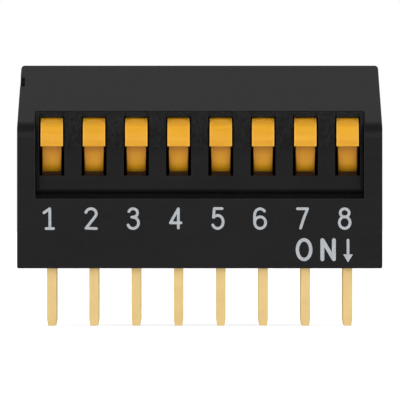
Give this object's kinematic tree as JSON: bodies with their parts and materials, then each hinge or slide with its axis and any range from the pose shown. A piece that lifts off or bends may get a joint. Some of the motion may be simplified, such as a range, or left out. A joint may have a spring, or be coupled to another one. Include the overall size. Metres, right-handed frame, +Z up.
{
  "type": "side-lever dip switch",
  "caption": "Through-hole piano DIP switch: a low black case with a leaning top face, small amber tilting levers along its front and rows of flat board pins below.",
  "frame": {"origin": "centre of the pin pattern on the board plane, which is the flat underside of the body", "axes": "+X along the row of levers from lever 1 to lever 8, +Y from the lever face to the back, +Z up away from the board"},
  "size_m": [0.022, 0.0088, 0.0156],
  "materials": {
    "black_case": "fine satin moulding, charcoal black",
    "black_frame": "satin moulding, black",
    "black_base": "satin moulding, black",
    "amber_lever": "satin moulding, amber",
    "gold_contact": "thin gold plate",
    "gold_pin": "pale gold plate, satin",
    "white_print": "pad-printed ink, matt"
  },
  "bodies": {
    "housing": {"case": "black_case", "lever_frame": "black_frame", "base": "black_base", "front_terminal_1": "gold_pin", "front_terminal_2": "gold_pin", "front_terminal_3": "gold_pin", "front_terminal_4": "gold_pin", "front_terminal_5": "gold_pin", "front_terminal_6": "gold_pin", "front_terminal_7": "gold_pin", "front_terminal_8": "gold_pin", "rear_terminal_1": "gold_pin", "rear_terminal_2": "gold_pin", "rear_terminal_3": "gold_pin", "rear_terminal_4": "gold_pin", "rear_terminal_5": "gold_pin", "rear_terminal_6": "gold_pin", "rear_terminal_7": "gold_pin", "rear_terminal_8": "gold_pin"},
    "pole_1_lever": {"lever_1": "amber_lever", "contact_clip_1": "gold_contact"},
    "pole_2_lever": {"lever_2": "amber_lever", "contact_clip_2": "gold_contact"},
    "pole_3_lever": {"lever_3": "amber_lever", "contact_clip_3": "gold_contact"},
    "pole_4_lever": {"lever_4": "amber_lever", "contact_clip_4": "gold_contact"},
    "pole_5_lever": {"lever_5": "amber_lever", "contact_clip_5": "gold_contact"},
    "pole_6_lever": {"lever_6": "amber_lever", "contact_clip_6": "gold_contact"},
    "pole_7_lever": {"lever_7": "amber_lever", "contact_clip_7": "gold_contact"},
    "pole_8_lever": {"lever_8": "amber_lever", "contact_clip_8": "gold_contact"}
  },
  "joints": [
    {"name": "lever_1_tilt", "type": "hinge", "parent": "housing", "child": "pole_1_lever", "pos_m": [-0.00889, -0.0021, 0.00734], "axis": [1, 0, 0], "range_deg": [0, 50]},
    {"name": "lever_2_tilt", "type": "hinge", "parent": "housing", "child": "pole_2_lever", "pos_m": [-0.00635, -0.0021, 0.00734], "axis": [1, 0, 0], "range_deg": [0, 50]},
    {"name": "lever_3_tilt", "type": "hinge", "parent": "housing", "child": "pole_3_lever", "pos_m": [-0.00381, -0.0021, 0.00734], "axis": [1, 0, 0], "range_deg": [0, 50]},
    {"name": "lever_4_tilt", "type": "hinge", "parent": "housing", "child": "pole_4_lever", "pos_m": [-0.00127, -0.0021, 0.00734], "axis": [1, 0, 0], "range_deg": [0, 50]},
    {"name": "lever_5_tilt", "type": "hinge", "parent": "housing", "child": "pole_5_lever", "pos_m": [0.00127, -0.0021, 0.00734], "axis": [1, 0, 0], "range_deg": [0, 50]},
    {"name": "lever_6_tilt", "type": "hinge", "parent": "housing", "child": "pole_6_lever", "pos_m": [0.00381, -0.0021, 0.00734], "axis": [1, 0, 0], "range_deg": [0, 50]},
    {"name": "lever_7_tilt", "type": "hinge", "parent": "housing", "child": "pole_7_lever", "pos_m": [0.00635, -0.0021, 0.00734], "axis": [1, 0, 0], "range_deg": [0, 50]},
    {"name": "lever_8_tilt", "type": "hinge", "parent": "housing", "child": "pole_8_lever", "pos_m": [0.00889, -0.0021, 0.00734], "axis": [1, 0, 0], "range_deg": [0, 50]}
  ]
}
